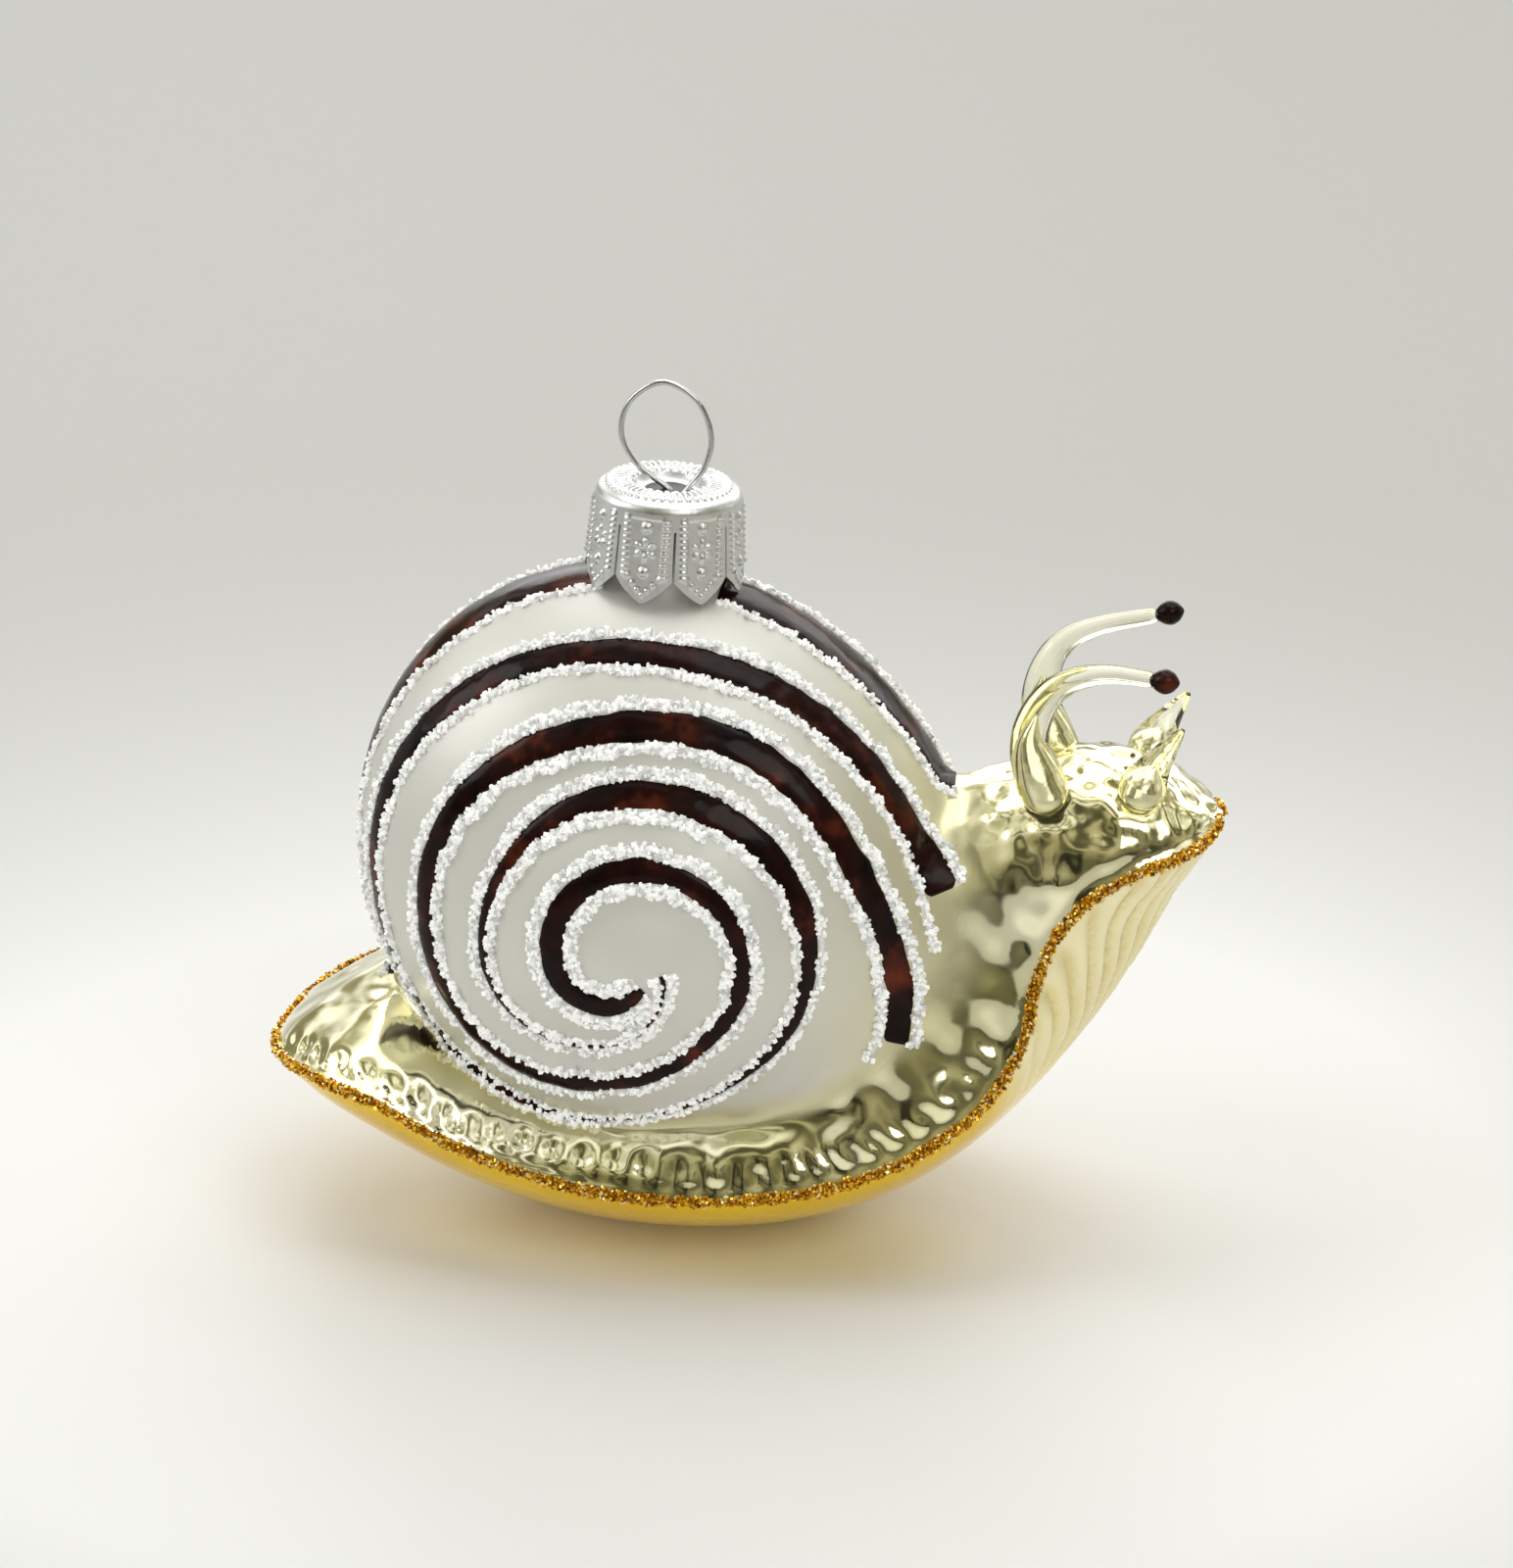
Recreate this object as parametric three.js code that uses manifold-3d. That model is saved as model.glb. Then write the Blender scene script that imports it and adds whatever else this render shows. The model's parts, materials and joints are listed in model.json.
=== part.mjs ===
// A hollow blown glass snail with a stamped crown cap, a wire hanging loop and four fused feelers.
// Millimetres, +X towards the head, +Y the snail's left, +Z up. The origin is the middle of the
// small flat under the belly that the ornament stands on.
import * as THREE from "three";
import { ParametricGeometry } from "three/addons/geometries/ParametricGeometry.js";
import { mergeVertices } from "three/addons/utils/BufferGeometryUtils.js";
import Module from "manifold-3d";

const wasm = await Module();
wasm.setup();

// ---- driving dimensions ----
const WALL = 1.2; // blown glass wall
const GAP = 0.3; // clearance between neighbouring pieces
const REST_CUT = 0.5; // how much of the belly's curve the rest flat takes off

const SHELL = {
  axisX: -0.4,
  axisZ: 36.9,
  halfThickness: 26,
  radius: 32.2, // mean radius of the crest
  ovalAmount: 2, // crest bulges up and back, and is flatter above the neck
  ovalAngle: 228,
  leanAmount: 1.1,
  leanAngle: 200,
  profilePower: 1.35,
  profileRoot: 2.1,
};

const WHORL = {
  pitch: 13.05, // radius gained in each turn
  start: 0.284,
  apexRadius: 2.2,
  suture: 0.7, // where the groove lies between two painted lines
  relief: 1.5,
};

const PIKE = { x: -1.9, z: 68.8, lean: 3.5, radius: 5.5, bore: 4.2, top: 9.5, root: -8 };

const CAP = {
  height: 10.4,
  topRadius: 7.4,
  skirtRadius: 7.9,
  sheet: 0.4,
  shoulder: 1.3,
  holeRadius: 2.6,
  dishRadius: 3.6,
  dishDepth: 0.5,
  petals: 8,
  firstGap: 15.6, // degrees from the front
  slitHeight: 6.6,
  slitWidth: 0.5,
  tipHeight: 2.3,
  tipGap: 4.2,
};

const WIRE = { radius: 0.3, sides: 6, steps: 48 };

// How finely the surfaces are cut: across and around the shell, along and around the foot.
const OUTSIDE_CUTS = { shell: [24, 50], foot: [40, 26] };
const INSIDE_CUTS = { shell: [14, 28], foot: [26, 14] };

// Foot, neck and head, from the tail tip to the snout. rim is x, half width and z of the sharp
// edge of the foot, back and keel are x and z of the highest and lowest line of the section.
const STATIONS = [
  { rim: [-43.8, 0, 16.6], back: [-43.8, 16.6], keel: [-43.8, 16.6] },
  { rim: [-41.6, 8.5, 17.9], back: [-41.4, 19.3], keel: [-41.4, 14.6] },
  { rim: [-36, 16.5, 19], back: [-35.6, 23], keel: [-35.6, 10.4] },
  { rim: [-29.5, 19.4, 18], back: [-29.5, 25.6], keel: [-28.8, 6.3] },
  { rim: [-20, 21, 14.2], back: [-20, 25], keel: [-19, 2.2] },
  { rim: [-8, 21.6, 10.9], back: [-8, 20], keel: [-8, -0.2] },
  { rim: [3, 21.6, 10.1], back: [3, 19.5], keel: [3, -REST_CUT] },
  { rim: [13, 21, 11], back: [11, 20.5], keel: [13, 0.9] },
  { rim: [21, 19.8, 12.9], back: [14, 23.5], keel: [21.5, 3.9] },
  { rim: [28, 17.8, 16.1], back: [17, 28], keel: [29, 8.6] },
  { rim: [33.5, 15.4, 20.6], back: [19, 34], keel: [36.2, 15.5] },
  { rim: [36.8, 13.2, 26.4], back: [21, 41], keel: [41.8, 23] },
  { rim: [37.6, 12, 31.4], back: [24, 46], keel: [45.6, 29.2] },
  { rim: [39.4, 11.5, 36.8], back: [28.5, 48.9], keel: [48.2, 34] },
  { rim: [42.6, 11.3, 41], back: [34.5, 51], keel: [50.3, 38.4] },
  { rim: [47.4, 10, 43.8], back: [42, 53.2], keel: [52, 41] },
  { rim: [51.8, 7.6, 45.2], back: [48.6, 52.2], keel: [53.6, 43.6] },
  { rim: [54.2, 4.6, 46.1], back: [53, 49.6], keel: [54.7, 45.4] },
  { rim: [55.2, 0, 47.2], back: [55.2, 47.2], keel: [55.2, 47.2] },
];
const KEEL_POWER = 1.35; // above 1 the belly is shallower than an ellipse

// Feelers are drawn from x, y, z and radius at points along their middle.
const LONG_RIGHT = [
  [38.6, -6.2, 47.5, 2.5],
  [37, -6.5, 52.4, 2.5],
  [36.1, -6.7, 56, 2],
  [36.8, -6.9, 59.2, 1.7],
  [38.5, -7.2, 61.8, 1.4],
  [40.9, -7.6, 63.3, 1.2],
  [44, -7.9, 64, 0.95],
  [48.5, -8.6, 63.9, 0.8],
];
const LONG_LEFT = [
  [38.6, 5.6, 47.5, 2.5],
  [36.9, 5.6, 52.4, 2.5],
  [35.9, 5.7, 56, 2],
  [36.2, 6, 58.8, 1.7],
  [37.2, 6.3, 61.1, 1.4],
  [39, 6.7, 62.7, 1.2],
  [42, 7.2, 63.9, 0.95],
  [47.6, 8.1, 65, 0.8],
];
const SHORT_RIGHT = [
  [46.6, -6.1, 49, 2.1],
  [47.4, -5.9, 51.6, 2.4],
  [48.5, -5.6, 53.7, 1.7],
  [51.2, -5, 57.7, 0.35],
];
const SHORT_LEFT = [
  [46.6, 5.7, 49, 2.1],
  [47.3, 5.6, 51.6, 2.4],
  [48.3, 5.5, 53.8, 1.7],
  [51, 5, 58, 0.35],
];
const BEAD = { radius: 1.15, length: 2.5 };

const GLASS = { color: 0xd9d3a8, roughness: 0.12, metalness: 0.6 };
const CLEAR_GLASS = { color: 0xe9e2a6, roughness: 0.05, metalness: 0 };
const SILVER = { color: 0xc9cbcd, roughness: 0.32, metalness: 1 };
const STEEL = { color: 0xb4b5b6, roughness: 0.25, metalness: 1 };
const BLACK = { color: 0x0d0b0b, roughness: 0.2, metalness: 0 };

// ---- solids ----
const radians = THREE.MathUtils.degToRad;

function solidOf(geometry) {
  const bare = geometry.clone();
  bare.deleteAttribute("normal");
  bare.deleteAttribute("uv");
  const merged = mergeVertices(bare, 1e-3);
  const index = merged.index.array;
  const faces = [];
  for (let i = 0; i < index.length; i += 3) {
    const [a, b, c] = index.slice(i, i + 3);
    if (a !== b && b !== c && c !== a) faces.push(a, b, c);
  }
  const vertProperties = merged.attributes.position.array;
  const facing = (list) => new wasm.Mesh({ numProp: 3, vertProperties, triVerts: new Uint32Array(list) });
  const solid = new wasm.Manifold(facing(faces));
  return solid.volume() > 0 ? solid : new wasm.Manifold(facing(faces.reverse()));
}

function geometryOf(solid) {
  const mesh = solid.getMesh();
  const geometry = new THREE.BufferGeometry();
  geometry.setAttribute("position", new THREE.BufferAttribute(mesh.vertProperties, 3));
  geometry.setIndex(new THREE.BufferAttribute(mesh.triVerts, 1));
  geometry.computeVertexNormals();
  return geometry;
}

function lathe(profile, segments, matrix) {
  const points = profile.map(([r, z]) => new THREE.Vector2(r, z));
  const geometry = new THREE.LatheGeometry(points, segments).rotateX(Math.PI / 2);
  return matrix ? geometry.applyMatrix4(matrix) : geometry;
}

function smooth(from, to, value) {
  return THREE.MathUtils.smoothstep(value, from, to);
}

// ---- the shell ----
// Angles run clockwise as seen from the snail's right: 0 is the head side, 90 down, 180 the tail.
function crestRadius(angle) {
  const oval = SHELL.ovalAmount * Math.cos(2 * (angle - radians(SHELL.ovalAngle)));
  const lean = SHELL.leanAmount * Math.cos(angle - radians(SHELL.leanAngle));
  return SHELL.radius + oval + lean;
}

// The spiral holds its radius over the top of each turn and widens under the bottom.
function turnsAt(angle) {
  const turn = angle / (2 * Math.PI);
  return 0.15 * (turn - 0.3) + 0.85 * smooth(0.12, 0.48, turn);
}

function whorlRelief(share, angle) {
  const reach = Math.max((share * SHELL.radius) ** 2 - WHORL.apexRadius ** 2, 0);
  const turns = WHORL.start + Math.sqrt(reach) / WHORL.pitch;
  const place = THREE.MathUtils.euclideanModulo(turns - turnsAt(angle) - WHORL.suture, 1);
  const bulge = (4 * place * (1 - place)) ** 0.75 - 0.6;
  return WHORL.relief * bulge * smooth(0.1, 0.25, share) * (1 - smooth(0.82, 0.97, share));
}

// across runs 0 to 1 from the right apex over the crest to the left apex, around once round.
function shellPoint(inset) {
  return (across, around, target) => {
    const angle = 2 * Math.PI * around;
    const share = Math.sin(Math.PI * across);
    const grown = crestRadius(angle) - SHELL.radius;
    const radius = share * (SHELL.radius + grown * share * share - inset);
    const fall = Math.max(1 - share ** SHELL.profilePower, 0) ** (1 / SHELL.profileRoot);
    const height = (SHELL.halfThickness - inset) * fall + whorlRelief(share, angle) * fall;
    target.set(
      SHELL.axisX + radius * Math.cos(angle),
      across < 0.5 ? -height : height,
      SHELL.axisZ - radius * Math.sin(angle),
    );
  };
}

// ---- foot, neck and head ----
const spline = (points) => new THREE.CatmullRomCurve3(points, false, "centripetal");
const rimLine = spline(STATIONS.map(({ rim }) => new THREE.Vector3(...rim)));
const backLine = spline(STATIONS.map(({ back: [x, z] }) => new THREE.Vector3(x, 0, z)));
const keelLine = spline(STATIONS.map(({ keel: [x, z] }) => new THREE.Vector3(x, 0, z)));

// along runs 0 to 1 from tail to snout, around from the right rim over the back and under the keel.
function footPoint(inset) {
  return (along, around, target) => {
    const angle = 2 * Math.PI * around;
    const rim = rimLine.getPoint(along);
    const halfWidth = Math.max(rim.y - 1.4 * inset * Math.min(rim.y, 1), 0);
    rim.y = 0;
    const above = angle <= Math.PI;
    const spoke = (above ? backLine : keelLine).getPoint(along).sub(rim);
    const length = spoke.length();
    const power = above ? 1 : KEEL_POWER;
    const spokeEnd = Math.max(length - inset * Math.min(length, 1), 0);
    const reach = spokeEnd * Math.abs(Math.sin(angle)) ** power;
    const side = -Math.sign(Math.cos(angle)) * Math.abs(Math.cos(angle)) ** power;
    if (length > 0) spoke.multiplyScalar(reach / length);
    target.copy(rim).add(spoke);
    target.y = halfWidth * side;
  };
}

function pikeMatrix() {
  const lean = new THREE.Matrix4().makeRotationY(radians(PIKE.lean));
  return lean.setPosition(PIKE.x, 0, PIKE.z);
}

function rod(radius, from, to, segments) {
  const profile = [
    [0, from],
    [radius, from],
    [radius, to],
    [0, to],
  ];
  return lathe(profile, segments, pikeMatrix());
}

function snailForm(inset, cuts) {
  const shell = solidOf(new ParametricGeometry(shellPoint(inset), ...cuts.shell));
  const foot = solidOf(new ParametricGeometry(footPoint(inset), ...cuts.foot));
  return shell.add(foot);
}

function glassBody() {
  const outside = snailForm(0, OUTSIDE_CUTS);
  const inside = snailForm(WALL, INSIDE_CUTS);
  const pike = solidOf(rod(PIKE.radius, PIKE.root, PIKE.top, 28));
  const bore = solidOf(rod(PIKE.bore, PIKE.root, PIKE.top + 1, 20));
  const floor = new THREE.BoxGeometry(120, 60, 10).translate(0, 0, -5);
  return outside.add(pike).subtract(inside).subtract(bore).subtract(solidOf(floor));
}

// ---- cap ----
function capShell() {
  const { height, topRadius, skirtRadius, sheet, shoulder, holeRadius, dishRadius, dishDepth } = CAP;
  const shoulderArc = [60, 30, 0].map((degrees) => {
    const angle = radians(degrees);
    const r = topRadius - shoulder + shoulder * Math.cos(angle);
    return [r, height - shoulder + shoulder * Math.sin(angle)];
  });
  const outer = [
    [holeRadius, height - dishDepth],
    [dishRadius, height - dishDepth],
    [dishRadius + 0.4, height],
    [topRadius - shoulder, height],
    ...shoulderArc,
    [skirtRadius, 3.4],
    [skirtRadius, 0],
  ];
  const inner = outer.map(([r, z], i) => [r - (i > 2 ? sheet : 0), i < 7 ? z - sheet : z]);
  const profile = [...outer, ...inner.reverse()];
  profile.push(profile[0]);
  return lathe(profile, 40);
}

// A gap between two petals: a narrow slit that opens to a wide notch at the pointed tips.
function petalGap(index) {
  const slit = CAP.slitWidth / 2;
  const mouth = CAP.tipGap / 2;
  const outline = new THREE.Shape();
  outline.moveTo(-mouth, -1);
  outline.lineTo(mouth, -1);
  outline.lineTo(mouth, 0);
  outline.lineTo(slit, CAP.tipHeight);
  outline.lineTo(slit, CAP.slitHeight);
  outline.lineTo(-slit, CAP.slitHeight);
  outline.lineTo(-slit, CAP.tipHeight);
  outline.lineTo(-mouth, 0);
  const reach = CAP.skirtRadius + 1;
  const cut = new THREE.ExtrudeGeometry(outline, { depth: reach, bevelEnabled: false });
  const angle = radians(CAP.firstGap + (360 / CAP.petals) * index);
  return solidOf(cut.rotateX(Math.PI / 2).rotateZ(angle));
}

function cap(clearOf) {
  let solid = solidOf(capShell());
  for (let i = 0; i < CAP.petals; i++) solid = solid.subtract(petalGap(i));
  const placed = geometryOf(solid).applyMatrix4(pikeMatrix());
  return solidOf(placed).subtract(clearOf);
}

// ---- wire and feelers ----
// A round bar along a curve, its radius given at each fraction of the way, with closed ends.
function bar(curve, radiusAt, steps, sides) {
  const frames = curve.computeFrenetFrames(steps, false);
  const surface = (along, around, target) => {
    const step = Math.round(along * (steps + 2)) - 1;
    const place = THREE.MathUtils.clamp(step, 0, steps);
    const radius = step === place ? radiusAt(place / steps) : 0;
    const angle = -2 * Math.PI * around;
    target.copy(curve.getPoint(place / steps));
    target.addScaledVector(frames.normals[place], radius * Math.cos(angle));
    target.addScaledVector(frames.binormals[place], radius * Math.sin(angle));
  };
  return new ParametricGeometry(surface, steps + 2, sides);
}

function wireLoop() {
  const points = [
    [-2.6, -0.4, 70.5],
    [-2.2, -0.4, 73.5],
    [-1, -0.4, 76.4],
    [0.5, -0.38, 78.4],
    [2.4, -0.2, 81],
    [3, 0, 84],
    [1.6, 0.1, 87.6],
    [-1.9, 0.1, 89.4],
    [-5.2, 0.1, 87.3],
    [-6.1, 0, 84],
    [-4.7, 0.2, 80.9],
    [-1.6, 0.38, 78.4],
    [0.1, 0.4, 76.4],
    [1.4, 0.4, 73.5],
    [1.8, 0.4, 70.5],
  ];
  const curve = spline(points.map((p) => new THREE.Vector3(...p)));
  return bar(curve, () => WIRE.radius, WIRE.steps, WIRE.sides);
}

function feeler(points, steps, sides) {
  const curve = spline(points.map(([x, y, z]) => new THREE.Vector3(x, y, z)));
  const radii = points.map((p) => p[3]);
  const radiusAt = (along) => {
    const place = along * (radii.length - 1);
    const before = Math.min(Math.floor(place), radii.length - 2);
    return THREE.MathUtils.lerp(radii[before], radii[before + 1], place - before);
  };
  return bar(curve, radiusAt, steps, sides);
}

// A drop of enamel that sits just past the end of a long feeler and points along it.
function bead(points) {
  const [before, end] = points.slice(-2).map(([x, y, z]) => new THREE.Vector3(x, y, z));
  const way = end.clone().sub(before).normalize();
  const geometry = new THREE.SphereGeometry(1, 12, 8);
  geometry.scale(BEAD.radius, BEAD.length / 2, BEAD.radius);
  geometry.applyQuaternion(new THREE.Quaternion().setFromUnitVectors(new THREE.Vector3(0, 1, 0), way));
  return geometry.translate(...end.addScaledVector(way, BEAD.length / 2 + GAP).toArray());
}

// ---- assembly ----
const snail = new THREE.Group();

function addPiece(name, solid, finish) {
  const mesh = new THREE.Mesh(geometryOf(solid), new THREE.MeshStandardMaterial(finish));
  mesh.name = name;
  snail.add(mesh);
}

const clearOfGlass = snailForm(-GAP, OUTSIDE_CUTS);
addPiece("glass_body", glassBody(), GLASS);
addPiece("cap", cap(clearOfGlass), SILVER);
addPiece("wire_loop", solidOf(wireLoop()), STEEL);
for (const [name, points] of [
  ["long_feeler_right", LONG_RIGHT],
  ["long_feeler_left", LONG_LEFT],
]) {
  addPiece(name, solidOf(feeler(points, 18, 10)).subtract(clearOfGlass), CLEAR_GLASS);
  addPiece(name.replace("feeler", "feeler_tip"), solidOf(bead(points)), BLACK);
}
for (const [name, points] of [
  ["short_feeler_right", SHORT_RIGHT],
  ["short_feeler_left", SHORT_LEFT],
]) {
  addPiece(name, solidOf(feeler(points, 9, 10)).subtract(clearOfGlass), CLEAR_GLASS);
}

export default snail;
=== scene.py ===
import bpy
import json
import math
import numpy as np
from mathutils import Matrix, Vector
from mathutils.bvhtree import BVHTree

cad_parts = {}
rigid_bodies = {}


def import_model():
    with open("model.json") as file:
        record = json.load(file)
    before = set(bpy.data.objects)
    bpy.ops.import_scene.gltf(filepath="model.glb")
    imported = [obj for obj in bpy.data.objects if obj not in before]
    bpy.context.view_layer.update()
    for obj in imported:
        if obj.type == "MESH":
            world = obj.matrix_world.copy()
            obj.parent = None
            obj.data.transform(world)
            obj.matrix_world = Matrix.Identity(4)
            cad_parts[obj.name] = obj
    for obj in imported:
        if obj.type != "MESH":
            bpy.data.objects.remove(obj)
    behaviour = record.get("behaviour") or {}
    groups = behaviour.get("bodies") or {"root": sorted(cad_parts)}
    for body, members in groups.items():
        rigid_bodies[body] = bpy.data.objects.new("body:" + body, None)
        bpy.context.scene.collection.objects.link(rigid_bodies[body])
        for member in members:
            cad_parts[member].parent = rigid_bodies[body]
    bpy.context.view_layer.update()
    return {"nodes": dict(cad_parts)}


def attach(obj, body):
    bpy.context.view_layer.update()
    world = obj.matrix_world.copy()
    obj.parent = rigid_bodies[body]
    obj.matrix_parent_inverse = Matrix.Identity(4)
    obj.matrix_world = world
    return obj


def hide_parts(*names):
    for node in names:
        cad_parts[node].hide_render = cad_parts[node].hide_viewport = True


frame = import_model()
mm = 0.001  # everything below is in millimetres until a mesh is made
print("frame loaded:", ", ".join(sorted(frame["nodes"])))


# meshes
def makePiece(name, points, faces, material, floats=None):
    mesh = bpy.data.meshes.new(name)
    mesh.from_pydata((np.asarray(points, float) * mm).tolist(), [], [list(map(int, f)) for f in faces])
    mesh.polygons.foreach_set("use_smooth", [True] * len(mesh.polygons))
    for label, values in (floats or {}).items():
        layer = mesh.attributes.new(label, "FLOAT", "POINT")
        layer.data.foreach_set("value", np.asarray(values, np.float32))
    mesh.validate()
    mesh.materials.append(material)
    piece = bpy.data.objects.new(name, mesh)
    bpy.context.scene.collection.objects.link(piece)
    return piece


def finishPiece(piece, slotName, *nodes):
    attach(piece, "root")
    if nodes:
        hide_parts(*nodes)
    return piece


def gridFaces(rows, columns, wrapColumns=False):
    r, c = np.meshgrid(np.arange(rows - 1), np.arange(columns - (not wrapColumns)), indexing="ij")
    r2, c2 = r + 1, (c + 1) % columns
    corners = [r * columns + c, r * columns + c2, r2 * columns + c2, r2 * columns + c]
    return np.stack(corners, -1).reshape(-1, 4)


def outward(points, faces):
    faces = np.asarray(faces)
    p = points[faces]
    volume = sum(np.einsum("ij,ij->i", p[:, 0], np.cross(p[:, k], p[:, k + 1])).sum() for k in (1, 2))
    return faces if volume > 0 else faces[:, ::-1]


def tubeMesh(rings):
    # rings is (stations, around, 3); both ends close on a middle point
    count, around = rings.shape[:2]
    points = np.concatenate([rings.reshape(-1, 3), rings[0].mean(0)[None], rings[-1].mean(0)[None]])
    faces = gridFaces(count, around, wrapColumns=True).tolist()
    last = (count - 1) * around
    for i in range(around):
        j = (i + 1) % around
        faces.append([i, count * around, j, j])
        faces.append([last + j, count * around + 1, last + i, last + i])
    faces = outward(points, np.array(faces))
    return points, [list(dict.fromkeys(f)) for f in faces.tolist()]


def smoothstep(low, high, value):
    t = np.clip((value - low) / (high - low), 0, 1)
    return t * t * (3 - 2 * t)


def waves(points, size, seed, octaves=3):
    # smooth made-up noise: a few turned sines for each octave
    draw = np.random.default_rng(seed)
    total = np.zeros(len(points))
    for octave in range(octaves):
        for _ in range(5):
            way = draw.normal(size=3)
            way *= 2 * math.pi / (size * 0.55 ** octave) / np.linalg.norm(way)
            total += 0.5 ** octave * np.sin(points @ way + draw.uniform(0, 6.3)) / 3
    return total


# shader trees
class Field:
    def __init__(self, finish, socket):
        self.finish, self.socket = finish, socket

    def calculate(self, operation, *others):
        node = self.finish.node("ShaderNodeMath", {"operation": operation}, [self, *others])
        return Field(self.finish, node.outputs[0])

    def __add__(self, other):
        return self.calculate("ADD", other)

    def __mul__(self, other):
        return self.calculate("MULTIPLY", other)

    def __sub__(self, other):
        return self.calculate("SUBTRACT", other)

    def __rsub__(self, other):
        return (self * -1.0) + other

    def __truediv__(self, other):
        return self.calculate("DIVIDE", other)

    __radd__, __rmul__ = __add__, __mul__

    def clamped(self):
        node = self.finish.node("ShaderNodeClamp", {}, [self])
        return Field(self.finish, node.outputs[0])

    def between(self, low, high, newLow=0.0, newHigh=1.0):
        settings = {"interpolation_type": "SMOOTHSTEP"}
        node = self.finish.node("ShaderNodeMapRange", settings, [self, low, high, newLow, newHigh])
        return Field(self.finish, node.outputs[0])


class NodeTree:
    def __init__(self, owner, outputKind):
        owner.use_nodes = True
        self.tree = owner.node_tree
        self.tree.nodes.clear()
        self.output = self.tree.nodes.new(outputKind)

    def node(self, kind, settings=None, inputs=None):
        node = self.tree.nodes.new(kind)
        for key, value in (settings or {}).items():
            setattr(node, key, value)
        pairs = inputs.items() if isinstance(inputs, dict) else enumerate(inputs or [])
        for key, value in pairs:
            socket = node.inputs[key]
            if isinstance(value, Field):
                self.tree.links.new(value.socket, socket)
            elif isinstance(value, bpy.types.NodeSocket):
                self.tree.links.new(value, socket)
            else:
                socket.default_value = value
        return node

    def field(self, kind, settings=None, inputs=None, output=0):
        return Field(self, self.node(kind, settings, inputs).outputs[output])

    def attribute(self, name):
        return self.field("ShaderNodeAttribute", {"attribute_name": name}, output="Fac")

    def place(self):
        return self.field("ShaderNodeTexCoord", output="Object")

    def noise(self, scale, detail=2.0, roughness=0.5, distortion=0.0):
        inputs = {"Vector": self.place(), "Scale": scale, "Detail": detail, "Roughness": roughness,
                  "Distortion": distortion}
        return self.field("ShaderNodeTexNoise", {}, inputs, "Fac")

    def mix(self, factor, first, second):
        inputs = {0: factor, 6: first, 7: second}
        return self.field("ShaderNodeMix", {"data_type": "RGBA"}, inputs, 2)

    def ramp(self, factor, stops):
        node = self.node("ShaderNodeValToRGB", {}, [factor])
        ramp = node.color_ramp
        while len(ramp.elements) < len(stops):
            ramp.elements.new(0.5)
        for element, (position, colour) in zip(ramp.elements, stops):
            element.position, element.color = position, colour
        return Field(self, node.outputs[0])

    def bump(self, height, distance, strength):
        inputs = {"Height": height, "Distance": distance, "Strength": strength}
        return self.field("ShaderNodeBump", {}, inputs)


class Finish(NodeTree):
    def __init__(self, name):
        self.material = bpy.data.materials.new(name)
        super().__init__(self.material, "ShaderNodeOutputMaterial")

    def surface(self, **values):
        inputs = {key.replace("_", " "): value for key, value in values.items()}
        shader = self.node("ShaderNodeBsdfPrincipled", {}, inputs)
        self.tree.links.new(shader.outputs[0], self.output.inputs[0])
        return self.material


def colour(red, green, blue):
    return (red, green, blue, 1.0)


# the snail's form
shellShape = dict(axisX=-0.4, axisZ=36.9, halfThickness=26, radius=32.2, ovalAmount=2.0, ovalAngle=228,
                  leanAmount=1.1, leanAngle=200, profilePower=1.35, profileRoot=2.1,
                  across=190, around=380)
whorls = dict(pitch=13.05, start=0.284, apexRadius=2.2, suture=0.72, relief=2.0, softness=0.35,
              fadeIn=(0.1, 0.25), fadeOut=(0.82, 0.97))
pikeShape = dict(x=-1.9, z=68.8, lean=3.5, radius=5.5, top=9.5, root=-8)
stations = [  # rim x, half width, z; back x, z; keel x, z
    (-43.8, 0, 16.6, -43.8, 16.6, -43.8, 16.6), (-41.6, 8.5, 17.9, -41.4, 19.3, -41.4, 14.6),
    (-36, 16.5, 19, -35.6, 23, -35.6, 10.4), (-29.5, 19.4, 18, -29.5, 25.6, -28.8, 6.3),
    (-20, 21, 14.2, -20, 23, -19, 2.2), (-8, 21.6, 10.9, -8, 20.5, -8, -0.2),
    (3, 21.6, 10.1, 3, 21.3, 3, -0.5), (13, 21, 11, 11, 22, 13, 0.9),
    (21, 19.8, 12.9, 14, 23.5, 21.5, 3.9), (28, 17.8, 16.1, 17, 28, 29, 8.6),
    (33.5, 15.4, 20.6, 19, 34, 36.2, 15.5), (36.8, 13.2, 26.4, 21, 41, 41.8, 23),
    (37.6, 12, 31.4, 24, 46, 45.6, 29.2), (39.4, 11.5, 36.8, 28.5, 48.9, 48.2, 34),
    (42.6, 11.3, 41, 34.5, 51, 50.3, 38.4), (47.4, 10, 43.8, 42, 53.2, 52, 41),
    (51.8, 7.6, 45.2, 48.9, 51.6, 53.6, 43.6), (54.2, 4.6, 46.1, 53.2, 48.8, 54.7, 45.4),
    (55.2, 0, 47.2, 55.2, 47.2, 55.2, 47.2)]


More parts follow.
